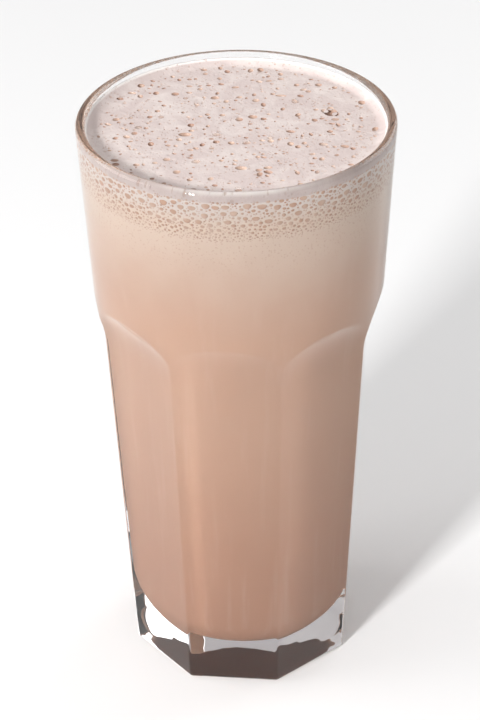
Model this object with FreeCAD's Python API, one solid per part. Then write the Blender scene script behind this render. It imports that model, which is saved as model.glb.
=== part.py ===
import FreeCAD
import Part
import math
import os

# A chocolate milkshake in its faceted glass tumbler.
# Millimetres, +Z up. The origin is the centre of the foot, on the surface that the glass stands on.
# The middle of one facet faces -Y. Nodes: the glass, the milkshake in it, and its head of froth.

# Glass, outside: one straight cone, cut by flat facets that run out in arches below the rim.
GLASS_HEIGHT = 140.0
RIM_RADIUS = 35.95
CONE_FOOT_RADIUS = 28.05  # where the uncut cone would meet the table
FACET_COUNT = 8
FACET_FOOT_DISTANCE = 25.4  # axis to the middle of a facet, at the table
FACET_TILT_DEG = 2.8  # outward lean of a facet
SHOULDER_START = 87.7  # height where a facet starts to curve out to the cone
SHOULDER_RADIUS = 23.0
FOOT_ROUNDING = 0.7
FOOT_HOLLOW_RADIUS = 19.0  # shallow hollow under the foot
FOOT_HOLLOW_DEPTH = 0.2

# Glass, inside: a round bore, straight up to the waist and flared from there to the rim.
RIM_WALL = 2.2
WAIST_HEIGHT = 84.0
WAIST_WALL = 4.9  # thinnest wall, in the middle of a facet at the waist
FOOT_WALL = 5.2  # wall in the middle of a facet, at the floor of the bore
FLOOR_THICKNESS = 7.3
FLOOR_CORNER_RADIUS = 9.0

# Contents, face to face with the bore.
FROTH_BELOW_RIM = 2.8
FROTH_DEPTH = 11.0
MENISCUS_RISE = 0.9  # froth drawn up where it meets the glass
MENISCUS_WIDTH = 2.6

# Room that cutting and filling bodies are given past the surface that they cross.
OVERRUN = 4.0

AXIS = FreeCAD.Vector(0, 0, 1)
CENTRE = FreeCAD.Vector(0, 0, 0)


def point(radius, height):
    """A point of a profile, in the plane that holds the axis and -Y."""
    return FreeCAD.Vector(0, -radius, height)


def line(start, end):
    return Part.makeLine(start, end)


def arc(start, middle, end):
    return Part.Arc(start, middle, end).toShape()


def turned(edges):
    """The solid that a closed profile sweeps around the axis."""
    face = Part.Face(Part.Wire(edges))
    solid = face.revolve(CENTRE, AXIS, 360)
    if solid.Volume < 0:
        solid.reverse()
    return solid


def cone_radius(height):
    """Outside radius of the uncut cone."""
    return CONE_FOOT_RADIUS + (RIM_RADIUS - CONE_FOOT_RADIUS) * height / GLASS_HEIGHT


def facet_distance(height):
    """Distance from the axis to the flat stretch of a facet."""
    return FACET_FOOT_DISTANCE + height * math.tan(math.radians(FACET_TILT_DEG))


def outer_cone():
    """The uncut outside, with the outer half of the rounded lip."""
    lip = RIM_WALL / 2
    lip_centre = GLASS_HEIGHT - lip
    side_top = point(cone_radius(lip_centre), lip_centre)
    top = point(RIM_RADIUS - lip, GLASS_HEIGHT)
    shoulder = point(cone_radius(lip_centre) - lip + lip * math.cos(math.pi / 4),
                     lip_centre + lip * math.sin(math.pi / 4))
    foot = point(CONE_FOOT_RADIUS, 0)
    return turned([
        line(CENTRE, foot),
        line(foot, side_top),
        arc(side_top, shoulder, top),
        line(top, point(0, GLASS_HEIGHT)),
        line(point(0, GLASS_HEIGHT), CENTRE),
    ])


def facet_cutter():
    """What the facet that faces -Y takes off the cone: a flat, leaning out, then a hollow curve."""
    tilt = math.radians(FACET_TILT_DEG)
    start = point(facet_distance(-OVERRUN), -OVERRUN)
    flat_top = point(facet_distance(SHOULDER_START), SHOULDER_START)
    centre_radius = facet_distance(SHOULDER_START) + SHOULDER_RADIUS * math.cos(tilt)
    centre_height = SHOULDER_START - SHOULDER_RADIUS * math.sin(tilt)

    def on_curve(angle):
        return point(centre_radius - SHOULDER_RADIUS * math.cos(angle),
                     centre_height + SHOULDER_RADIUS * math.sin(angle))

    quarter = math.pi / 2
    curve_end = on_curve(quarter)
    outside = RIM_RADIUS + SHOULDER_RADIUS + OVERRUN
    edges = [
        line(start, flat_top),
        arc(flat_top, on_curve((tilt + quarter) / 2), curve_end),
        line(curve_end, point(outside, centre_height + SHOULDER_RADIUS)),
        line(point(outside, centre_height + SHOULDER_RADIUS), point(outside, -OVERRUN)),
        line(point(outside, -OVERRUN), start),
    ]
    half_width = RIM_RADIUS + OVERRUN
    face = Part.Face(Part.Wire(edges))
    face.translate(FreeCAD.Vector(-half_width, 0, 0))
    return face.extrude(FreeCAD.Vector(2 * half_width, 0, 0))


def bore_radius_at_floor():
    return facet_distance(FLOOR_THICKNESS) - FOOT_WALL


def bore_radius_at_waist():
    return facet_distance(WAIST_HEIGHT) - WAIST_WALL


def bore():
    """The inside of the glass as a solid, carried straight up past the lip."""
    lip = RIM_WALL / 2
    lip_centre = GLASS_HEIGHT - lip
    rim_radius = cone_radius(lip_centre) - RIM_WALL
    floor_radius = bore_radius_at_floor()
    waist_radius = bore_radius_at_waist()
    lean = math.atan2(waist_radius - floor_radius, WAIST_HEIGHT - FLOOR_THICKNESS)

    # Floor corner: an arc that touches the flat floor and the leaning wall.
    corner = FLOOR_CORNER_RADIUS
    reach = corner * math.tan((math.pi / 2 - lean) / 2)
    corner_centre = (floor_radius - reach, FLOOR_THICKNESS + corner)
    corner_start = point(corner_centre[0], FLOOR_THICKNESS)
    corner_end = point(floor_radius + reach * math.sin(lean),
                       FLOOR_THICKNESS + reach * math.cos(lean))
    middle_angle = -(math.pi / 2 + lean) / 2
    corner_middle = point(corner_centre[0] + corner * math.cos(middle_angle),
                          corner_centre[1] + corner * math.sin(middle_angle))

    # Flare: a curve that leaves the straight wall without a kink and ends at the lip.
    half_rise = (lip_centre - WAIST_HEIGHT) / 2
    waist = point(waist_radius, WAIST_HEIGHT)
    rim = point(rim_radius, lip_centre)
    flare = Part.BezierCurve()
    flare.setPoles([waist, point(waist_radius + half_rise * math.tan(lean), WAIST_HEIGHT + half_rise), rim])

    top = GLASS_HEIGHT + OVERRUN
    return turned([
        line(point(0, FLOOR_THICKNESS), corner_start),
        arc(corner_start, corner_middle, corner_end),
        line(corner_end, waist),
        flare.toShape(),
        line(rim, point(rim_radius, top)),
        line(point(rim_radius, top), point(0, top)),
        line(point(0, top), point(0, FLOOR_THICKNESS)),
    ])


def lip_inner_cutter():
    """Rounds the inner half of the lip."""
    lip = RIM_WALL / 2
    lip_centre = GLASS_HEIGHT - lip
    middle_radius = cone_radius(lip_centre) - lip
    inner = point(middle_radius - lip, lip_centre)
    crest = point(middle_radius, GLASS_HEIGHT)
    between = point(middle_radius - lip * math.cos(math.pi / 4),
                    lip_centre + lip * math.sin(math.pi / 4))
    above = GLASS_HEIGHT + OVERRUN
    return turned([
        arc(inner, between, crest),
        line(crest, point(middle_radius, above)),
        line(point(middle_radius, above), point(0, above)),
        line(point(0, above), point(0, lip_centre)),
        line(point(0, lip_centre), inner),
    ])


def slab(bottom, top):
    return Part.makeCylinder(RIM_RADIUS + OVERRUN, top - bottom, FreeCAD.Vector(0, 0, bottom))


def make_glass():
    body = outer_cone()
    cutter = facet_cutter()
    for index in range(FACET_COUNT):
        turned_cutter = cutter.copy()
        turned_cutter.rotate(CENTRE, AXIS, index * 360.0 / FACET_COUNT)
        body = body.cut(turned_cutter)
    foot_edges = [edge for edge in body.Edges if edge.BoundBox.ZMax < FOOT_ROUNDING / 2]
    body = body.makeFillet(FOOT_ROUNDING, foot_edges)
    body = body.cut(bore())
    body = body.cut(lip_inner_cutter())
    hollow = Part.makeCone(FOOT_HOLLOW_RADIUS, FOOT_HOLLOW_RADIUS - FOOT_HOLLOW_DEPTH, FOOT_HOLLOW_DEPTH)
    return body.cut(hollow)


def froth_blank(bottom, level):
    """Froth out to past the bore: flat on top, curving up at the glass."""
    contact = bore_section_radius(level)
    curve_start = contact - MENISCUS_WIDTH
    curve_radius = (MENISCUS_WIDTH ** 2 + MENISCUS_RISE ** 2) / (2 * MENISCUS_RISE)
    outer = contact + MENISCUS_RISE

    def height(radius):
        return level + curve_radius - math.sqrt(curve_radius ** 2 - (radius - curve_start) ** 2)

    middle = (curve_start + outer) / 2
    return turned([
        line(point(0, bottom), point(outer, bottom)),
        line(point(outer, bottom), point(outer, height(outer))),
        arc(point(outer, height(outer)), point(middle, height(middle)), point(curve_start, level)),
        line(point(curve_start, level), point(0, level)),
        line(point(0, level), point(0, bottom)),
    ])


def bore_section_radius(height):
    """Radius of the bore at a height, from the bore itself."""
    section = bore().slice(AXIS, height)
    return section[0].BoundBox.XLength / 2


def make_milkshake():
    return bore().common(slab(0, GLASS_HEIGHT - FROTH_BELOW_RIM - FROTH_DEPTH))


def make_froth():
    level = GLASS_HEIGHT - FROTH_BELOW_RIM
    return bore().common(froth_blank(level - FROTH_DEPTH, level))


def single_solid(shape):
    """The one solid of a shape, refused if the shape has come apart or is not sound."""
    solids = shape.Solids
    if len(solids) != 1 or not solids[0].isValid() or solids[0].Volume <= 0:
        raise ValueError("expected one sound solid, found %d" % len(solids))
    return solids[0]


def main():
    os.makedirs("parts", exist_ok=True)
    pieces = {
        "glass": make_glass(),
        "milkshake": make_milkshake(),
        "froth": make_froth(),
    }
    for name, shape in pieces.items():
        solid = single_solid(shape)
        box = solid.BoundBox
        print("%-10s %8.1f cm3  z %.2f to %.2f  width %.2f x %.2f" % (
            name, solid.Volume / 1000, box.ZMin, box.ZMax, box.XLength, box.YLength))
        solid.exportStep("parts/%s.step" % name)


main()
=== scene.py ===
"""A chocolate milkshake in a faceted glass tumbler: every visible piece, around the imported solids."""

import math
import random

import bmesh
import bpy
import numpy as np
from bpy.props import FloatProperty, FloatVectorProperty, IntProperty, PointerProperty
from mathutils import Euler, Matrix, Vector, noise


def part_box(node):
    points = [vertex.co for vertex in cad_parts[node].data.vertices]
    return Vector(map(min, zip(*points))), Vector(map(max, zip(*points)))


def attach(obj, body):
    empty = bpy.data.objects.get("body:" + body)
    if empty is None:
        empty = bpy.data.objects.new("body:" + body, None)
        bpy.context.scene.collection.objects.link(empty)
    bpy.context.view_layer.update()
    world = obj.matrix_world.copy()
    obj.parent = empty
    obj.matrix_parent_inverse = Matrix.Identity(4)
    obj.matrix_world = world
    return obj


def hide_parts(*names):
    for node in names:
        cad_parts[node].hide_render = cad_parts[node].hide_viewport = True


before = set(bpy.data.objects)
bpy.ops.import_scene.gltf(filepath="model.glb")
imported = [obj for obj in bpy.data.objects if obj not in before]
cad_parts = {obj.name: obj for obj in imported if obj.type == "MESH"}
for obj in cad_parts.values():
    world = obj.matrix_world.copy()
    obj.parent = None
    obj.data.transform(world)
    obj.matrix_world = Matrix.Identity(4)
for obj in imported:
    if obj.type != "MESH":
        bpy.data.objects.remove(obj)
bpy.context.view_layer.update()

bl_info = {
    "name": "Chocolate Milkshake",
    "version": (1, 0, 0),
    "blender": (4, 5, 0),
    "location": "3D View > Sidebar > Milkshake",
    "description": "Builds a chocolate milkshake in a faceted glass tumbler, and a soft studio around it",
    "category": "Object",
}

GLASS_LOW, GLASS_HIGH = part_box("glass")
FROTH_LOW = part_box("froth")[0]
MILK_LOW, MILK_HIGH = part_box("milkshake")
MM = 0.001
BODY = "root"


# ---------------------------------------------------------------- sizes and colours


def length(name, description, default, smallest=0.0):
    return FloatProperty(name=name, description=description, default=default, min=smallest, unit="LENGTH",
                         subtype="DISTANCE", precision=5)


def colour(name, description, default):
    return FloatVectorProperty(name=name, description=description, default=default, size=3, min=0.0,
                               max=1.0, subtype="COLOR")


def angle(name, description, degrees):
    return FloatProperty(name=name, description=description, default=math.radians(degrees), unit="ROTATION",
                         subtype="ANGLE")


def power(name, description, default):
    return FloatProperty(name=name, description=description, default=default, min=0.0, unit="POWER")


def brightness(name, description, default):
    return FloatProperty(name=name, description=description, default=default, min=0.0)


def share(name, description, default):
    return FloatProperty(name=name, description=description, default=default, min=0.0, max=1.0,
                         subtype="FACTOR")


class TumblerSettings(bpy.types.PropertyGroup):
    height: length("Height", "Foot to rim", GLASS_HIGH.z - GLASS_LOW.z)
    rim_radius: length("Rim radius", "Outside of the cone, carried up to the rim", 35.95 * MM)
    cone_foot_radius: length("Cone foot radius", "Outside of the uncut cone at the table", 28.05 * MM)
    facets: IntProperty(name="Facets", description="Flat faces around the glass", default=8, min=3)
    facet_distance: length("Facet distance", "Axis to the middle of a facet, at the table", 25.4 * MM)
    facet_tilt: angle("Facet tilt", "Outward lean of a facet", 2.8)
    shoulder_start: length("Shoulder start", "Height where a facet starts to curve out", 87.7 * MM)
    shoulder_radius: length("Shoulder radius", "Radius of the hollow curve above a facet", 23.0 * MM)
    foot_rounding: length("Foot rounding", "Rounding of the edge that the glass stands on", 0.9 * MM)
    hollow_radius: length("Hollow radius", "Shallow hollow under the foot", 19.0 * MM)
    hollow_depth: length("Hollow depth", "Depth of the hollow under the foot", 0.2 * MM)
    rim_wall: length("Rim wall", "Thickness of the rounded lip", 2.2 * MM)
    waist_height: length("Waist height", "Where the bore starts to flare", 84.0 * MM)
    waist_wall: length("Waist wall", "Wall in the middle of a facet at the waist", 4.9 * MM)
    foot_wall: length("Foot wall", "Wall in the middle of a facet at the floor of the bore", 5.2 * MM)
    floor_thickness: length("Floor thickness", "Solid glass under the drink", MILK_LOW.z - GLASS_LOW.z)
    floor_corner: length("Floor corner", "Rounding between the floor and the wall of the bore", 9.0 * MM)
    rib_softness: length("Rib softness", "How softly two facets meet", 0.35 * MM)
    arch_softness: length("Arch softness", "How softly a facet meets the cone", 0.3 * MM)
    columns: IntProperty(name="Columns", description="Points around the glass, a multiple of the facets",
                         default=384, min=32)
    tint: colour("Tint", "Colour of the clear glass", (0.996, 0.994, 0.995))
    refraction: FloatProperty(name="Refractive index", description="How strongly the glass bends light",
                              default=1.5, min=1.0)


class DrinkSettings(bpy.types.PropertyGroup):
    # Painted shade: the underside of the drink is darkened because it lies in shade, and it shows mirrored
    # in the base.
    underside_shade_colour: colour("Underside", "Colour of the drink on the floor of the glass", (0.17, 0.07, 0.045))
    reach: length("Reach", "How far the drink reaches into the wall, so that no air shows", 0.06 * MM)
    froth_level: length("Froth level", "Height of the flat top of the froth", GLASS_HIGH.z - 2.8 * MM)
    meniscus_rise: length("Meniscus rise", "Height that the froth is drawn up at the glass", 1.5 * MM)
    meniscus_width: length("Meniscus width", "Width of the ring that is drawn up", 2.6 * MM)
    swell: length("Swell", "Height of the low swells of the froth", 0.10 * MM)
    top_colour: colour("Top of the froth", "Colour of the froth seen from above", (0.635, 0.535, 0.51))
    cream_colour: colour("Cream", "Colour of the palest froth, near the glass", (0.82, 0.745, 0.705))
    # Painted light: the froth that climbs the glass is made paler to make up for the shade it lies in
    # behind the lip.
    rim_painted_light_colour: colour("Froth contact", "Colour of the froth that climbs the glass", (0.95, 0.91, 0.88))
    speck_colour: colour("Specks", "Colour of the finest bubbles on the froth", (0.50, 0.33, 0.255))
    pit_colour: colour("Bubble walls", "Colour of the inside of an open bubble", (0.40, 0.245, 0.185))
    wall_pit_colour: colour("Bubbles at the glass", "Colour of bubbles at the glass", (0.57, 0.345, 0.235))
    film_colour: colour("Films", "Colour of the film of a whole bubble", (0.86, 0.76, 0.70))
    head_colour: colour("Head", "Colour of the froth seen through the glass", (0.83, 0.69, 0.575))
    drink_colour: colour("Drink", "Colour of the milkshake under the froth", (0.66, 0.425, 0.305))
    streak_colour: colour("Streaks", "Colour of the faint runs inside the glass", (0.80, 0.62, 0.52))
    streak_amount: share("Streak strength", "How plainly the runs show", 0.14)
    # Partly the drink's own deeper colour and partly painted shade, as the light falls off towards the
    # foot.
    deep_shaded_colour: colour("Deep drink", "Colour of the milkshake near the foot", (0.53, 0.295, 0.20))


class BubbleSettings(bpy.types.PropertyGroup):
    seed: IntProperty(name="Seed", description="Changes where the bubbles lie", default=11, min=0)
    top_count: IntProperty(name="Open bubbles", description="Bubbles burst on the top of the froth",
                           default=1300, min=0)
    film_share: share("Whole bubbles", "Share of the larger bubbles that have not burst", 0.12)
    film_smallest: length("Smallest whole bubble", "Half width over which a bubble may be whole", 0.45 * MM)
    wall_density: share("Crowding", "How tightly the bubbles at the glass are packed", 0.40)
    wall_depth: length("Depth at the glass", "How far under the rim the modelled bubbles reach", 10.5 * MM)
    smallest: length("Smallest", "Radius of the smallest modelled bubble", 0.11 * MM)
    wall_thickness: length("Half thickness", "Half the thickness of a bubble at the glass", 0.18 * MM)
    wall_smallest: length("Smallest at the glass", "Radius of the smallest bubble at the glass", 0.17 * MM)
    largest: length("Largest", "Radius of the largest scattered bubble", 0.95 * MM)


class StageSettings(bpy.types.PropertyGroup):
    floor_colour: colour("Floor", "Colour of the floor", (0.84, 0.84, 0.84))
    room_front: brightness("Room in front", "Brightness of the pale room before the glass", 0.30)
    room_back: brightness("Room behind", "Brightness of the pale room behind the glass", 0.40)
    room_left: brightness("Room on the left", "Brightness of the room on the lit side", 0.80)
    room_right: brightness("Room on the right", "Brightness of the room on the shaded side", 0.12)
    room_top: brightness("Ceiling", "Brightness of the pale room overhead", 0.75)
    key_power: power("Key light", "Power of the soft light in front, on the left", 16.8)
    key_size: length("Key size", "Width of the square key light", 0.17)
    key_turn: angle("Key turn", "Turn of the key light around the glass, from -Y to the left", 26)
    side_power: power("Side light", "Power of the wide soft light on the left", 5.5)
    side_size: length("Side size", "Width of the square side light and fill light", 0.9)
    side_turn: angle("Side turn", "Turn of the side light around the glass, from -Y to the left", 85)
    fill_power: power("Fill light", "Power of the wide soft light behind, on the right", 5.2)
    fill_turn: angle("Fill turn", "Turn of the fill light around the glass, from -Y to the left", -136)
    light_rise: angle("Light rise", "Angle of the three lights above the floor", 25)
    light_distance: length("Light distance", "Distance of the lights from the glass", 1.25)
    camera_distance: length("Camera distance", "Level distance from the axis to the camera", 493.1 * MM)
    camera_height: length("Camera height", "Height of the camera above the floor", 388.4 * MM)
    camera_turn: angle("Camera turn", "Turn of the camera around the glass, from -Y to the right", 6.155)
    camera_pitch: angle("Camera pitch", "Angle that the camera looks down", 32.344)
    camera_roll: angle("Camera roll", "Turn of the camera about its own line of sight", -0.906)
    focal_length: FloatProperty(name="Focal length", description="Lens of the camera, in millimetres",
                                default=123.6, min=1.0, unit="CAMERA")


# ---------------------------------------------------------------- shape of the glass


def cone_radius(s, height):
    """Outside radius of the uncut cone."""
    return s.cone_foot_radius + (s.rim_radius - s.cone_foot_radius) * height / s.height


def facet_flat(s, height):
    """Distance from the axis to the flat stretch of a facet."""
    return s.facet_distance + height * math.tan(s.facet_tilt)


def facet_reach(s, height):
    """Distance from the axis to a facet, with the hollow curve that carries it out to the cone."""
    if height <= s.shoulder_start:
        return facet_flat(s, height)
    centre_height = s.shoulder_start - s.shoulder_radius * math.sin(s.facet_tilt)
    centre = facet_flat(s, s.shoulder_start) + s.shoulder_radius * math.cos(s.facet_tilt)
    rise = min(height - centre_height, s.shoulder_radius)
    return centre - math.sqrt(s.shoulder_radius ** 2 - rise ** 2)


def bore_radius(s, height):
    """Radius of the bore: straight up to the waist, then flared to the lip."""
    floor = facet_flat(s, s.floor_thickness) - s.foot_wall
    waist = facet_flat(s, s.waist_height) - s.waist_wall
    lean = (waist - floor) / (s.waist_height - s.floor_thickness)
    if height <= s.waist_height:
        return floor + lean * (height - s.floor_thickness)
    lip_centre = s.height - s.rim_wall / 2
    rim = cone_radius(s, lip_centre) - s.rim_wall
    rise = lip_centre - s.waist_height
    t = (height - s.waist_height) / rise
    bend = waist + lean * rise / 2
    return waist * (1 - t) ** 2 + 2 * bend * t * (1 - t) + rim * t * t


def corner_points(s, steps, grow=0.0):
    """Points of the rounded corner between the floor of the bore and its wall, floor end first."""
    floor = facet_flat(s, s.floor_thickness) - s.foot_wall
    waist = facet_flat(s, s.waist_height) - s.waist_wall
    lean = math.atan2(waist - floor, s.waist_height - s.floor_thickness)
    reach = s.floor_corner * math.tan((math.pi / 2 - lean) / 2)
    centre = (floor - reach, s.floor_thickness + s.floor_corner)
    points = []
    for step in range(steps + 1):
        angle = -math.pi / 2 + (math.pi / 2 - lean) * step / steps
        radius = s.floor_corner + grow
        points.append((centre[0] + radius * math.cos(angle), centre[1] + radius * math.sin(angle)))
    return points


def spaced(low, high, count):
    """count + 1 evenly spaced values from low to high, both ends in it."""
    return [low + (high - low) * step / count for step in range(count + 1)]


# ---------------------------------------------------------------- modelling helpers


def lathe(name, profile, columns):
    """A plane merged to a point, extruded along a profile of (radius, height) and spun around the axis."""
    bpy.ops.object.select_all(action="DESELECT")
    bpy.ops.mesh.primitive_plane_add(size=MM)
    obj = bpy.context.object
    obj.name = name
    obj.data.name = name
    bpy.ops.object.mode_set(mode="EDIT")
    bpy.ops.mesh.select_all(action="SELECT")
    bpy.ops.mesh.merge(type="CENTER")
    places = [Vector((radius, 0.0, height)) for radius, height in profile]
    bpy.ops.transform.translate(value=places[0])
    for before, after in zip(places, places[1:]):
        bpy.ops.mesh.extrude_vertices_move(TRANSFORM_OT_translate={"value": after - before})
    bpy.ops.mesh.select_all(action="SELECT")
    bpy.ops.mesh.spin(steps=columns, angle=2 * math.pi, center=(0, 0, 0), axis=(0, 0, 1))
    bpy.ops.mesh.select_all(action="SELECT")
    bpy.ops.mesh.remove_doubles(threshold=0.002 * MM)
    bpy.ops.mesh.normals_make_consistent(inside=False)
    bpy.ops.object.mode_set(mode="OBJECT")
    return obj


def vertex_array(obj):
    places = np.empty(len(obj.data.vertices) * 3)
    obj.data.vertices.foreach_get("co", places)
    return places.reshape(-1, 3)


def set_vertices(obj, places):
    obj.data.vertices.foreach_set("co", places.ravel())
    obj.data.update()


def smooth(obj, angle=None):
    """Shades the whole piece smooth, with edges sharper than the angle kept sharp."""
    bpy.ops.object.select_all(action="DESELECT")
    obj.select_set(True)
    bpy.context.view_layer.objects.active = obj
    if angle is None:
        bpy.ops.object.shade_smooth()
    else:
        bpy.ops.object.shade_smooth_by_angle(angle=angle)


def finish_piece(obj, slot, *nodes):
    """Rides the finished piece on the body and hides the imported parts that it stands for."""
    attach(obj, BODY)
    if nodes:
        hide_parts(*nodes)


def soft_min(a, b, softness):
    """The smaller of two distances, with the edge between them rounded off."""
    overlap = np.clip(softness - np.abs(a - b), 0.0, None) / softness
    return np.minimum(a, b) - overlap * overlap * softness / 4


# ---------------------------------------------------------------- materials

# The finest bubbles seen through the glass: scale, density and smallest radius.
SIDE_SPECKS = (1700.0, 0.8, 0.16)


def new_material(name):
    material = bpy.data.materials.new(name)
    material.use_nodes = True
    tree = material.node_tree
    tree.nodes.clear()
    output = tree.nodes.new("ShaderNodeOutputMaterial")
    shader = tree.nodes.new("ShaderNodeBsdfPrincipled")
    tree.links.new(shader.outputs["BSDF"], output.inputs["Surface"])
    return material, tree, shader


def place_node(tree):
    return tree.nodes.new("ShaderNodeTexCoord").outputs["Object"]


def noise_node(tree, place, scale, detail=3.0, roughness=0.5, distortion=0.0):
    node = tree.nodes.new("ShaderNodeTexNoise")
    node.inputs["Scale"].default_value = scale
    node.inputs["Detail"].default_value = detail
    node.inputs["Roughness"].default_value = roughness
    node.inputs["Distortion"].default_value = distortion
    tree.links.new(place, node.inputs["Vector"])
    return node.outputs["Fac"]


def ramp_node(tree, value, low, high, from_value=0.0, to_value=1.0, curve="SMOOTHSTEP"):
    node = tree.nodes.new("ShaderNodeMapRange")
    node.interpolation_type = curve
    node.inputs["From Min"].default_value = low
    node.inputs["From Max"].default_value = high
    node.inputs["To Min"].default_value = from_value
    node.inputs["To Max"].default_value = to_value
    tree.links.new(value, node.inputs["Value"])
    return node.outputs["Result"]


def mix_node(tree, factor, first, second):
    """Mixes two colours, each given as a colour or as a socket."""
    node = tree.nodes.new("ShaderNodeMix")
    node.data_type = "RGBA"
    tree.links.new(factor, node.inputs["Factor"])
    for value, socket in ((first, node.inputs[6]), (second, node.inputs[7])):
        if isinstance(value, bpy.types.NodeSocket):
            tree.links.new(value, socket)
        else:
            socket.default_value = (*value, 1.0)
    return node.outputs[2]


def math_node(tree, operation, first, second):
    node = tree.nodes.new("ShaderNodeMath")
    node.operation = operation
    for value, socket in zip((first, second), node.inputs):
        if isinstance(value, bpy.types.NodeSocket):
            tree.links.new(value, socket)
        else:
            socket.default_value = value
    return node.outputs["Value"]


def bump_node(tree, shader, height, distance, strength=1.0):
    node = tree.nodes.new("ShaderNodeBump")
    node.inputs["Distance"].default_value = distance
    node.inputs["Strength"].default_value = strength
    tree.links.new(height, node.inputs["Height"])
    tree.links.new(node.outputs["Normal"], shader.inputs["Normal"])


def height_of(tree, place):
    node = tree.nodes.new("ShaderNodeSeparateXYZ")
    tree.links.new(place, node.inputs["Vector"])
    return node.outputs["Z"]


def glass_material(s):
    """Clear pressed glass, with the faint waves that a mould leaves in it."""
    material, tree, shader = new_material("clear_pressed_glass")
    shader.inputs["Base Color"].default_value = (*s.tint, 1.0)
    shader.inputs["Transmission Weight"].default_value = 1.0
    shader.inputs["IOR"].default_value = s.refraction
    shader.inputs["Roughness"].default_value = 0.0
    place = place_node(tree)
    waves = noise_node(tree, place, 55.0, detail=1.0)
    near_foot = ramp_node(tree, height_of(tree, place), 20 * MM, 8 * MM, 0.0, 2.4)
    mould = math_node(tree, "MULTIPLY", noise_node(tree, place, 150.0, detail=1.0), near_foot)
    bump_node(tree, shader, math_node(tree, "ADD", waves, mould), 0.05 * MM, 0.8)
    return material


def drink_colours(tree, place, d):
    """Colour of the drink by height, the same in the froth and under it, so that no line shows."""
    height = height_of(tree, place)
    drift = noise_node(tree, place, 70.0, detail=2.0)
    shift = ramp_node(tree, drift, 0.3, 0.7, -2.0 * MM, 2.0 * MM)
    level = math_node(tree, "ADD", height, shift)
    # Darker towards the foot and paler towards the froth: partly the drink's and froth's own colours,
    # partly painted shade where less light reaches low down.
    low_part = ramp_node(tree, level, 15 * MM, 85 * MM)
    high_part = ramp_node(tree, level, 98 * MM, 134 * MM)
    body = mix_node(tree, low_part, tuple(d.deep_shaded_colour), tuple(d.drink_colour))
    body = mix_node(tree, high_part, body, tuple(d.head_colour))
    drawn_out = tree.nodes.new("ShaderNodeMapping")
    drawn_out.inputs["Scale"].default_value = (1.0, 1.0, 0.06)
    tree.links.new(place, drawn_out.inputs["Vector"])
    streaks = noise_node(tree, drawn_out.outputs["Vector"], 330.0, detail=3.0, roughness=0.6)
    return mix_node(tree, ramp_node(tree, streaks, 0.50, 0.80, 0.0, d.streak_amount), body,
                    tuple(d.streak_colour))


def micro_bubbles(tree, place, scale, density, low, high=0.36):
    """1 inside fine round bubbles, 0 between them."""
    cells = tree.nodes.new("ShaderNodeTexVoronoi")
    cells.inputs["Scale"].default_value = scale
    tree.links.new(place, cells.inputs["Vector"])
    size = tree.nodes.new("ShaderNodeSeparateColor")
    tree.links.new(cells.outputs["Color"], size.inputs["Color"])
    chosen = ramp_node(tree, size.outputs["Red"], 1.0 - density, 1.0, 0.0, 1.0, "LINEAR")
    radius = ramp_node(tree, chosen, 0.0, 1.0, low, high, "LINEAR")
    kept = ramp_node(tree, chosen, 0.0, 0.02, 0.0, 1.0, "LINEAR")
    edge = math_node(tree, "SUBTRACT", radius, cells.outputs["Distance"])
    inside = ramp_node(tree, edge, -0.05, 0.07)
    return math_node(tree, "MULTIPLY", inside, kept)


def milkshake_material(d):
    """Smooth drink behind the glass, paler and finely bubbled towards the froth."""
    material, tree, shader = new_material("milkshake")
    place = place_node(tree)
    base = drink_colours(tree, place, d)
    specks = micro_bubbles(tree, place, *SIDE_SPECKS)
    height = height_of(tree, place)
    # Painted shade: the lowest millimetre and a half of the drink takes the dark shaded underside colour.
    underside_shade_mask = ramp_node(tree, height, MILK_LOW.z + 0.3 * MM, MILK_LOW.z + 1.5 * MM, 1.0, 0.0)
    base = mix_node(tree, underside_shade_mask, base, tuple(d.underside_shade_colour))
    near_froth = ramp_node(tree, height, 112 * MM, 128 * MM, 0.0, 0.5)
    amount = math_node(tree, "MULTIPLY", specks, near_froth)
    tree.links.new(mix_node(tree, amount, base, tuple(d.wall_pit_colour)), shader.inputs["Base Color"])
    shader.inputs["Roughness"].default_value = 0.75
    shader.inputs["Specular IOR Level"].default_value = 0.1
    return material


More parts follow.
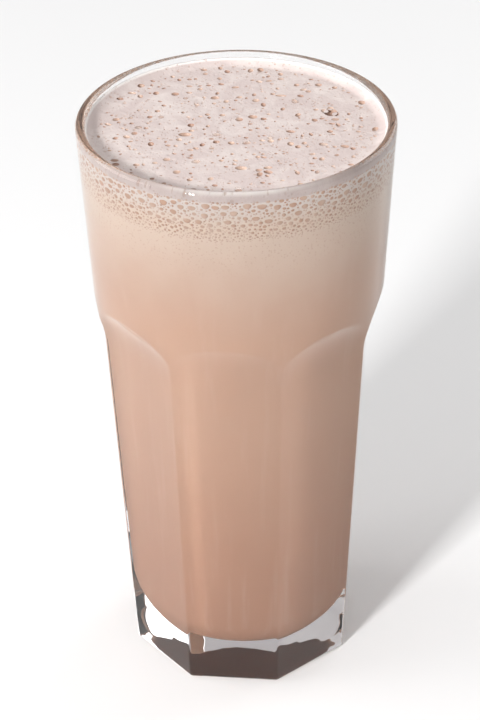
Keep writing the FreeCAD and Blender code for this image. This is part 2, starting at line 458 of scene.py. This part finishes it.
def froth_material(d):
    """Pale foam: pinkish on top, warmer behind the glass, with fine bubbles and faint swirls."""
    material, tree, shader = new_material("froth")
    place = place_node(tree)
    side = drink_colours(tree, place, d)
    height = height_of(tree, place)
    on_top = ramp_node(tree, height, d.froth_level - 0.5 * MM, d.froth_level - 0.2 * MM)

    swirl = noise_node(tree, place, 95.0, detail=4.0, roughness=0.55, distortion=1.6)
    patches = ramp_node(tree, swirl, 0.35, 0.75, 0.0, 0.55)
    top = mix_node(tree, patches, tuple(d.top_colour), tuple(d.cream_colour))
    # Painted light: the top of the meniscus ring is lightened to make up for the shade behind the lip.
    rim_painted_light = ramp_node(tree, height, d.froth_level + 0.85 * MM, d.froth_level + 1.35 * MM)
    top = mix_node(tree, rim_painted_light, top, tuple(d.rim_painted_light_colour))
    near_rim = ramp_node(tree, height, d.froth_level - 8 * MM, d.froth_level - 1 * MM, 0.0, 0.95)
    side = mix_node(tree, near_rim, side, tuple(d.cream_colour))
    base = mix_node(tree, on_top, side, top)

    fine = micro_bubbles(tree, place, 1500.0, 0.6, 0.10)
    medium = micro_bubbles(tree, place, 800.0, 0.42, 0.08)
    crowd = ramp_node(tree, noise_node(tree, place, 170.0, detail=2.0), 0.38, 0.62, 0.25, 1.0)
    faint = math_node(tree, "MULTIPLY", fine, 0.45)
    plainer = math_node(tree, "MULTIPLY", medium, 0.62)
    specks = math_node(tree, "MAXIMUM", faint, plainer)
    amount = math_node(tree, "MULTIPLY", math_node(tree, "MULTIPLY", specks, crowd), on_top)
    tinted = mix_node(tree, amount, base, tuple(d.speck_colour))

    small = micro_bubbles(tree, place, *SIDE_SPECKS)
    low_down = ramp_node(tree, height, d.froth_level - 1.5 * MM, d.froth_level - 5 * MM, 0.0, 0.5)
    behind_glass = math_node(tree, "MULTIPLY", small, low_down)
    tinted = mix_node(tree, behind_glass, tinted, tuple(d.wall_pit_colour))
    tree.links.new(tinted, shader.inputs["Base Color"])

    grain = noise_node(tree, place, 1500.0, detail=2.0)
    lumps = noise_node(tree, place, 300.0, detail=3.0, distortion=0.8)
    relief = math_node(tree, "SUBTRACT", math_node(tree, "MULTIPLY", grain, 0.3), amount)
    relief = math_node(tree, "ADD", relief, math_node(tree, "MULTIPLY", lumps, 1.6))
    bump_node(tree, shader, relief, 0.16 * MM, 0.8)
    shader.inputs["Roughness"].default_value = 0.55
    shader.inputs["Specular IOR Level"].default_value = 0.25
    return material


def pit_material(name, deep, pale):
    """Wet inside of a bubble, unevenly brown."""
    material, tree, shader = new_material(name)
    place = place_node(tree)
    drift = noise_node(tree, place, 300.0, detail=2.0)
    shade = ramp_node(tree, drift, 0.35, 0.7, 0.0, 0.45)
    tree.links.new(mix_node(tree, shade, tuple(deep), tuple(pale)), shader.inputs["Base Color"])
    shader.inputs["Roughness"].default_value = 0.35
    shader.inputs["Specular IOR Level"].default_value = 0.4
    return material


# ---------------------------------------------------------------- the tumbler


def up_the_cone(s, low, high, count):
    """Points of the uncut cone, without the lowest one."""
    return [(cone_radius(s, z), z) for z in spaced(low, high, count)[1:]]


def tumbler_profile(s):
    """The glass from the middle of its underside, up the outside, over the lip and down to the floor."""
    lip = s.rim_wall / 2
    lip_centre = s.height - lip
    points = [(0.0, s.hollow_depth)]
    points += [(radius, s.hollow_depth) for radius in spaced(6 * MM, s.hollow_radius - 1.6 * MM, 2)]
    points += [(s.hollow_radius - 0.6 * MM, s.hollow_depth * 0.85),
               (s.hollow_radius, s.hollow_depth * 0.4),
               (s.hollow_radius + 0.6 * MM, 0.0)]
    for angle in spaced(0.0, math.pi / 2, 6):
        height = s.foot_rounding * (1 - math.cos(angle))
        inset = s.foot_rounding * (1 - math.sin(angle))
        points.append((cone_radius(s, height) - inset, height))
    arch_low = s.shoulder_start - 2 * MM
    arch_high = s.shoulder_start + 16 * MM
    points += up_the_cone(s, s.foot_rounding, arch_low, 8)
    points += up_the_cone(s, arch_low, arch_high, 72)
    points += up_the_cone(s, arch_high, lip_centre, 8)
    middle = cone_radius(s, lip_centre) - lip
    points += [(middle + lip * math.cos(angle), lip_centre + lip * math.sin(angle))
               for angle in spaced(0.0, math.pi, 16)[1:]]
    points += [(bore_radius(s, z), z) for z in spaced(lip_centre, s.waist_height, 24)[1:]]
    corner = corner_points(s, 8)
    points += [(bore_radius(s, z), z) for z in spaced(s.waist_height, corner[-1][1], 6)[1:-1]]
    points += reversed(corner)
    points += [(corner[0][0] * share, s.floor_thickness) for share in (0.66, 0.33, 0.0)]
    return points


def press_facets(s, obj):
    """Moves the outside of the lathe shape in to the facets, and crowds its columns at the ribs."""
    places = vertex_array(obj)
    radius = np.hypot(places[:, 0], places[:, 1])
    angle = np.arctan2(places[:, 1], places[:, 0])
    height = places[:, 2]

    step = 2 * math.pi / s.facets
    facing = -math.pi / 2
    middle = facing + np.round((angle - facing) / step) * step
    across = (angle - middle) / (step / 2)
    crowded = np.sign(across) * (1.35 * np.abs(across) - 0.35 * np.abs(across) ** 3)
    angle = middle + crowded * step / 2

    reach = np.array([facet_reach(s, z) for z in height])
    cone = cone_radius(s, height)
    here = middle - angle
    beside = step - np.abs(here)
    facet = soft_min(reach / np.cos(here), reach / np.maximum(np.cos(beside), 0.2), s.rib_softness)
    outside = soft_min(cone, facet, s.arch_softness)

    bore = np.array([bore_radius(s, z) for z in height])
    lip_centre = s.height - s.rim_wall / 2
    on_outside = (radius > (bore + cone) / 2) & (height < lip_centre - 0.1 * MM)
    on_outside &= radius > s.hollow_radius + MM
    radius = np.where(on_outside, outside + (radius - cone), radius)
    places[:, 0] = radius * np.cos(angle)
    places[:, 1] = radius * np.sin(angle)
    set_vertices(obj, places)


class MILKSHAKE_OT_tumbler(bpy.types.Operator):
    """Model the faceted glass tumbler"""

    bl_idname = "milkshake.tumbler"
    bl_label = "Glass tumbler"

    def execute(self, context):
        s = context.scene.milkshake_tumbler
        obj = lathe("tumbler", tumbler_profile(s), s.columns)
        press_facets(s, obj)
        smooth(obj, math.radians(50))
        obj.data.materials.append(glass_material(s))
        finish_piece(obj, "glass", "glass")
        return {"FINISHED"}


# ---------------------------------------------------------------- the milkshake


class MILKSHAKE_OT_drink(bpy.types.Operator):
    """Model the milkshake under the froth"""

    bl_idname = "milkshake.drink"
    bl_label = "Milkshake"

    def execute(self, context):
        s = context.scene.milkshake_tumbler
        d = context.scene.milkshake_drink
        corner = corner_points(s, 10, d.reach)
        bottom = s.floor_thickness - d.reach
        heights = spaced(corner[-1][1], s.waist_height, 8)[1:]
        heights += spaced(s.waist_height, MILK_HIGH.z, 20)[1:]
        points = [(0.0, bottom), (corner[0][0] / 2, bottom)]
        points += corner
        points += [(bore_radius(s, z) + d.reach, z) for z in heights]
        points += [(points[-1][0] / 2, MILK_HIGH.z), (0.0, MILK_HIGH.z)]
        obj = lathe("milkshake_body", points, 256)
        smooth(obj, math.radians(40))
        obj.data.materials.append(milkshake_material(d))
        finish_piece(obj, "milkshake", "milkshake")
        return {"FINISHED"}


# ---------------------------------------------------------------- the froth

# Large bubbles that give the top its look: place, half width and half depth in millimetres, and turn.
# The places and half widths are mostly measured, by a separate calculation. The rest is judged.
# The first CRATER_PARTS of them run together into one ragged crater.
CRATER_PARTS = 4
LARGE_BUBBLES = (
    (20.4, 9.6, 1.6, 1.9, 0.3),
    (21.6, 8.8, 0.9, 1.0, 0.0),
    (19.0, 10.2, 0.9, 1.1, 0.5),
    (20.2, 11.6, 0.8, 0.9, 0.0),
    (-11.1, -3.8, 1.5, 0.9, 0.1),
    (2.9, -18.6, 1.35, 0.9, 0.0),
    (6.8, -19.3, 0.75, 0.7, 0.0),
    (8.9, -20.0, 1.1, 0.8, -0.4),
    (-15.7, 16.2, 0.95, 0.9, 0.0),
    (-6.4, 15.0, 1.1, 0.85, 0.2),
    (4.9, 12.3, 0.6, 1.1, 0.2),
    (3.1, 5.9, 1.15, 0.95, -0.1),
    (0.2, 4.4, 0.9, 0.95, 0.3),
    (-13.7, -15.7, 0.95, 0.75, 0.0),
    (-17.5, 4.3, 0.75, 0.75, 0.0),
    (-20.0, 4.2, 0.7, 0.75, 0.0),
    (-2.3, 20.8, 1.0, 0.6, 0.3),
    (-0.9, 15.7, 0.75, 0.6, 0.2),
    (12.2, -0.6, 1.1, 0.65, -0.1),
    (6.8, 0.7, 0.55, 0.5, 0.2),
    (-3.8, 6.3, 0.75, 0.6, 0.1),
    (8.5, 17.1, 1.3, 0.5, 0.0),
)


def froth_profile(s, d):
    """The froth from the middle of its underside, up the glass to the contact line and back to the axis."""
    contact = d.froth_level + d.meniscus_rise
    points = [(0.0, FROTH_LOW.z)]
    points += [(bore_radius(s, z) + d.reach, z) for z in spaced(FROTH_LOW.z, contact, 16)]
    inner = bore_radius(s, contact) - d.meniscus_width
    outer = points[-1][0]
    for share in spaced(1.0, 0.0, 10)[1:]:
        points.append((inner + (outer - inner) * share, d.froth_level + d.meniscus_rise * share ** 2.2))
    points += [(radius, d.froth_level) for radius in spaced(inner, 0.0, 26)[1:]]
    return points


def swell_top(s, d, obj):
    """Gives the flat top its low uneven swells."""
    places = vertex_array(obj)
    for place in places:
        if place[2] > d.froth_level - 0.2 * MM:
            low = noise.noise(Vector(place) * 90.0) + 0.5 * noise.noise(Vector(place) * 260.0)
            room = 1.0 - min(1.0, math.hypot(place[0], place[1]) / bore_radius(s, d.froth_level)) ** 8
            place[2] += d.swell * low * room
    set_vertices(obj, places)


COARSE_SIZE = 2.5 * MM


def unit_ball(subdivisions):
    """Corners and triangles of one ball, modelled once and then copied."""
    bpy.ops.object.select_all(action="DESELECT")
    bpy.ops.mesh.primitive_ico_sphere_add(subdivisions=subdivisions, radius=1.0)
    ball = bpy.context.object
    corners = vertex_array(ball).copy()
    faces = np.array([tuple(face.vertices) for face in ball.data.polygons])
    bpy.data.objects.remove(ball)
    return corners, faces


def joined_balls(name, balls, fine_size):
    """One mesh of many flattened balls, each given as (centre, three half sizes, rotation).

    The smaller a ball is, the fewer faces it has: the fewest under fine_size, the most from COARSE_SIZE.
    """
    small = unit_ball(1)
    middle = unit_ball(2)
    large = unit_ball(3)
    all_corners = []
    all_faces = []
    count = 0
    for centre, sizes, turn in balls:
        if max(sizes) < fine_size / 2:
            corners, faces = small
        elif max(sizes) < COARSE_SIZE / 2:
            corners, faces = middle
        else:
            corners, faces = large
        moved = (corners * np.array(sizes)) @ np.array(turn.to_matrix()).T + np.array(centre)
        all_corners.append(moved)
        all_faces.append(faces + count)
        count += len(corners)
    mesh = bpy.data.meshes.new(name)
    mesh.from_pydata(np.concatenate(all_corners).tolist(), [], np.concatenate(all_faces).tolist())
    obj = bpy.data.objects.new(name, mesh)
    bpy.context.scene.collection.objects.link(obj)
    return obj


LARGEST_NEIGHBOUR = 2 * MM  # room in a cell for a listed bubble beside a scattered one


class Crowd:
    """Keeps round things apart while they are scattered."""

    def __init__(self, cell):
        self.cell = cell
        self.cells = {}

    def key(self, place):
        return tuple(int(math.floor(value / self.cell)) for value in place)

    def fits(self, place, radius, gap):
        kx, ky, kz = self.key(place)
        for x in (kx - 1, kx, kx + 1):
            for y in (ky - 1, ky, ky + 1):
                for z in (kz - 1, kz, kz + 1):
                    for other, other_radius in self.cells.get((x, y, z), ()):
                        if (other - place).length < radius + other_radius + gap:
                            return False
        return True

    def add(self, place, radius):
        self.cells.setdefault(self.key(place), []).append((place, radius))


def open_bubbles(s, d, b, chance, crowd):
    """Burst bubbles on the top: the large ones from their list, the rest scattered, in loose clusters."""
    balls = []
    for x, y, half_width, half_depth, turn in LARGE_BUBBLES:
        centre = Vector((x * MM, y * MM, d.froth_level + 0.10 * MM))
        sizes = (half_width * MM, half_depth * MM, 0.55 * max(half_width, half_depth) * MM)
        crowd.add(centre, max(half_width, half_depth) * MM)
        balls.append((centre, sizes, Euler((0, 0, turn))))
    room = bore_radius(s, d.froth_level) - d.meniscus_width * 0.7
    tries = 0
    while len(balls) < b.top_count and tries < 40 * b.top_count:
        tries += 1
        distance = room * math.sqrt(chance.random())
        angle = chance.uniform(-math.pi, math.pi)
        x, y = distance * math.cos(angle), distance * math.sin(angle)
        crowding = noise.noise(Vector((x, y, 0.3)) * 150.0)
        if crowding < chance.uniform(-0.65, 0.30):
            continue
        radius = b.smallest + (b.largest - b.smallest) * chance.random() ** 3.6
        centre = Vector((x, y, d.froth_level + chance.uniform(-0.1, 0.3) * radius))
        if not crowd.fits(centre, radius, 0.08 * MM):
            continue
        crowd.add(centre, radius)
        stretch = chance.uniform(0.75, 1.3)
        sizes = (radius * stretch, radius / stretch, radius * chance.uniform(0.5, 0.9))
        balls.append((centre, sizes, Euler((0, 0, chance.uniform(-0.5, 0.5)))))
    return balls


SIZE_ROUNDS = 9


def wall_bubbles(s, d, b, chance, crowd):
    """Bubbles pressed flat against the glass, large ones first: large under the rim, finer below."""
    balls = []
    top = d.froth_level + 0.2 * MM
    for size_step in spaced(0.0, 1.0, SIZE_ROUNDS - 1):
        radius = b.largest * (b.wall_smallest / b.largest) ** size_step
        deepest = b.wall_depth * (1.0 - (radius - b.wall_smallest) / (1.25 * b.largest))
        tries = int(b.wall_density * 2 * s.rim_radius * deepest / radius ** 2)
        for _ in range(tries):
            size = radius * chance.uniform(0.82, 1.1)
            height = top - size - deepest * chance.random() ** 1.2
            angle = chance.uniform(-math.pi, math.pi)
            distance = bore_radius(s, height)
            centre = Vector((distance * math.cos(angle), distance * math.sin(angle), height))
            if not crowd.fits(centre, size, 0.07 * MM + 0.1 * size):
                continue
            crowd.add(centre, size)
            stretch = chance.uniform(0.88, 1.15)
            sizes = (b.wall_thickness, size * stretch, size / stretch)
            balls.append((centre, sizes, Euler((chance.uniform(-0.5, 0.5), 0, angle))))
    return balls


def film_material(d):
    """The thin wet film of a bubble that has not burst."""
    material, tree, shader = new_material("bubble_film")
    place = place_node(tree)
    drift = noise_node(tree, place, 900.0, detail=1.0)
    tree.links.new(ramp_node(tree, drift, 0.3, 0.7, 0.05, 0.24), shader.inputs["Alpha"])
    shader.inputs["Base Color"].default_value = (*d.film_colour, 1.0)
    shader.inputs["Roughness"].default_value = 0.08
    return material


def cut(obj, cutter):
    """Takes the cutter out of the piece. The cut faces keep the cutter's material."""
    modifier = obj.modifiers.new("cut", "BOOLEAN")
    modifier.operation = "DIFFERENCE"
    modifier.object = cutter
    modifier.solver = "MANIFOLD"
    modifier.material_mode = "TRANSFER"
    bpy.ops.object.select_all(action="DESELECT")
    obj.select_set(True)
    bpy.context.view_layer.objects.active = obj
    bpy.ops.object.modifier_apply(modifier=modifier.name)
    bpy.data.objects.remove(cutter)


class MILKSHAKE_OT_froth(bpy.types.Operator):
    """Model the head of froth with its open bubbles"""

    bl_idname = "milkshake.froth"
    bl_label = "Froth"

    def execute(self, context):
        s = context.scene.milkshake_tumbler
        d = context.scene.milkshake_drink
        b = context.scene.milkshake_bubbles
        obj = lathe("froth_head", froth_profile(s, d), 192)
        swell_top(s, d, obj)
        obj.data.materials.append(froth_material(d))
        chance = random.Random(b.seed)
        crowd = Crowd(2 * b.largest + LARGEST_NEIGHBOUR)
        balls = open_bubbles(s, d, b, chance, crowd)
        cutter = joined_balls("bubble_cutter", balls, 0.6 * MM)
        cutter.data.materials.append(pit_material("open_bubble", d.pit_colour, d.head_colour))
        cut(obj, cutter)
        smooth(obj, math.radians(38))
        finish_piece(obj, "froth", "froth")

        films = []
        for centre, sizes, turn in balls[CRATER_PARTS:]:
            if max(sizes) > b.film_smallest and chance.random() < b.film_share:
                films.append((centre, (sizes[0] * 0.97, sizes[1] * 0.97, sizes[2] * 0.7), turn))
        film = joined_balls("bubble_films", films, 0.6 * MM)
        film.data.materials.append(film_material(d))
        smooth(film)
        finish_piece(film, "froth")
        return {"FINISHED"}


class MILKSHAKE_OT_bubbles(bpy.types.Operator):
    """Model the bubbles that are pressed flat against the glass"""

    bl_idname = "milkshake.bubbles"
    bl_label = "Bubbles at the glass"

    def execute(self, context):
        s = context.scene.milkshake_tumbler
        d = context.scene.milkshake_drink
        b = context.scene.milkshake_bubbles
        chance = random.Random(b.seed + 1)
        crowd = Crowd(2 * b.largest + LARGEST_NEIGHBOUR)
        balls = wall_bubbles(s, d, b, chance, crowd)
        obj = joined_balls("bubbles_at_the_glass", balls, 0.5 * MM)
        obj.data.materials.append(pit_material("glass_bubble", d.wall_pit_colour, d.head_colour))
        smooth(obj)
        finish_piece(obj, "froth")
        return {"FINISHED"}


# ---------------------------------------------------------------- the stage

LIT_PLACE = Vector((0.0, 0.0, 80 * MM))  # what the lights point at
FLOOR_WIDTH = 6.0
# The floor lies a hair under the foot, because two faces in one plane would blacken the clear base.
FLOOR_GAP = 0.02 * MM
SENSOR_WIDTH = 36.0  # millimetres, as Blender counts them
NEAREST = 0.01


def soft_light(g, name, turn, size, watts):
    """A square soft light, turned around the glass from -Y to the left and raised above the floor."""
    data = bpy.data.lights.new(name, "AREA")
    data.shape = "SQUARE"
    data.size = size
    data.energy = watts
    obj = bpy.data.objects.new(name, data)
    bpy.context.scene.collection.objects.link(obj)
    level = g.light_distance * math.cos(g.light_rise)
    upright = g.light_distance * math.sin(g.light_rise)
    obj.location = LIT_PLACE + Vector((-level * math.sin(turn), -level * math.cos(turn), upright))
    obj.rotation_euler = (LIT_PLACE - obj.location).to_track_quat("-Z", "Y").to_euler()


class MILKSHAKE_OT_stage(bpy.types.Operator):
    """Set the floor, the pale room, the soft lights and the camera"""

    bl_idname = "milkshake.stage"
    bl_label = "Stage"

    def room(self, context, g):
        """A pale room without edges: bright overhead and on the left, dim in front and on the right."""
        world = bpy.data.worlds.new("pale_room")
        world.use_nodes = True
        tree = world.node_tree
        direction = tree.nodes.new("ShaderNodeTexCoord").outputs["Generated"]
        parts = tree.nodes.new("ShaderNodeSeparateXYZ")
        tree.links.new(direction, parts.inputs["Vector"])
        behind = ramp_node(tree, parts.outputs["Y"], -0.3, 0.7)
        above = ramp_node(tree, parts.outputs["Z"], 0.6, 0.95)
        warm = (g.room_back * 1.04, g.room_back * 0.98, g.room_back)
        level = mix_node(tree, behind, (g.room_front,) * 3, warm)
        right = ramp_node(tree, parts.outputs["X"], 0.4, 0.9)
        level = mix_node(tree, right, level, (g.room_right,) * 3)
        left = ramp_node(tree, parts.outputs["X"], -0.9, -0.4, 1.0, 0.0)
        level = mix_node(tree, left, level, (g.room_left,) * 3)
        level = mix_node(tree, above, level, (g.room_top,) * 3)
        tree.links.new(level, tree.nodes["Background"].inputs["Color"])
        context.scene.world = world
        context.scene.view_settings.view_transform = "Standard"

    def execute(self, context):
        g = context.scene.milkshake_stage
        bpy.ops.object.select_all(action="DESELECT")
        bpy.ops.mesh.primitive_plane_add(size=FLOOR_WIDTH)
        floor = context.object
        floor.name = "floor"
        floor.location.z = -FLOOR_GAP
        material, tree, shader = new_material("floor")
        place = place_node(tree)
        shade = noise_node(tree, place, 3.0, detail=1.0)
        pale = tuple(g.floor_colour)
        paler = tuple(value * 1.02 for value in pale)
        tree.links.new(mix_node(tree, shade, pale, paler), shader.inputs["Base Color"])
        shader.inputs["Roughness"].default_value = 0.9
        shader.inputs["Specular IOR Level"].default_value = 0.0
        floor.data.materials.append(material)

        self.room(context, g)
        soft_light(g, "key_light", g.key_turn, g.key_size, g.key_power)
        soft_light(g, "side_light", g.side_turn, g.side_size, g.side_power)
        soft_light(g, "fill_light", g.fill_turn, g.side_size, g.fill_power)

        data = bpy.data.cameras.new("camera")
        data.lens = g.focal_length
        data.sensor_width = SENSOR_WIDTH
        data.clip_start = NEAREST
        camera = bpy.data.objects.new("camera", data)
        context.scene.collection.objects.link(camera)
        camera.location = (g.camera_distance * math.sin(g.camera_turn),
                           -g.camera_distance * math.cos(g.camera_turn), g.camera_height)
        look = Euler((math.pi / 2 - g.camera_pitch, 0.0, g.camera_turn), "XYZ").to_matrix()
        roll = Euler((0.0, 0.0, g.camera_roll), "XYZ").to_matrix()
        camera.rotation_euler = (look @ roll).to_euler()
        context.scene.camera = camera
        return {"FINISHED"}


# ---------------------------------------------------------------- panel and registration


class MILKSHAKE_PT_panel(bpy.types.Panel):
    """The pieces of the milkshake and their sizes"""

    bl_idname = "MILKSHAKE_PT_panel"
    bl_label = "Chocolate milkshake"
    bl_space_type = "VIEW_3D"
    bl_region_type = "UI"
    bl_category = "Milkshake"

    def draw(self, context):
        for operator in OPERATORS:
            self.layout.operator(operator)
        for owner in SETTINGS:
            box = self.layout.box()
            settings = getattr(context.scene, owner)
            for name in settings.__annotations__:
                box.prop(settings, name)


OPERATORS = (
    "milkshake.tumbler",
    "milkshake.drink",
    "milkshake.froth",
    "milkshake.bubbles",
    "milkshake.stage",
)
SETTINGS = {
    "milkshake_tumbler": TumblerSettings,
    "milkshake_drink": DrinkSettings,
    "milkshake_bubbles": BubbleSettings,
    "milkshake_stage": StageSettings,
}
CLASSES = (
    *SETTINGS.values(),
    MILKSHAKE_OT_tumbler,
    MILKSHAKE_OT_drink,
    MILKSHAKE_OT_froth,
    MILKSHAKE_OT_bubbles,
    MILKSHAKE_OT_stage,
    MILKSHAKE_PT_panel,
)


def register():
    for item in CLASSES:
        bpy.utils.register_class(item)
    for name, group in SETTINGS.items():
        setattr(bpy.types.Scene, name, PointerProperty(type=group))


def unregister():
    for name in SETTINGS:
        delattr(bpy.types.Scene, name)
    for item in reversed(CLASSES):
        bpy.utils.unregister_class(item)


def main():
    register()
    bpy.ops.milkshake.stage()
    bpy.ops.milkshake.tumbler()
    bpy.ops.milkshake.drink()
    bpy.ops.milkshake.froth()
    bpy.ops.milkshake.bubbles()


if __name__ == "__main__":
    main()
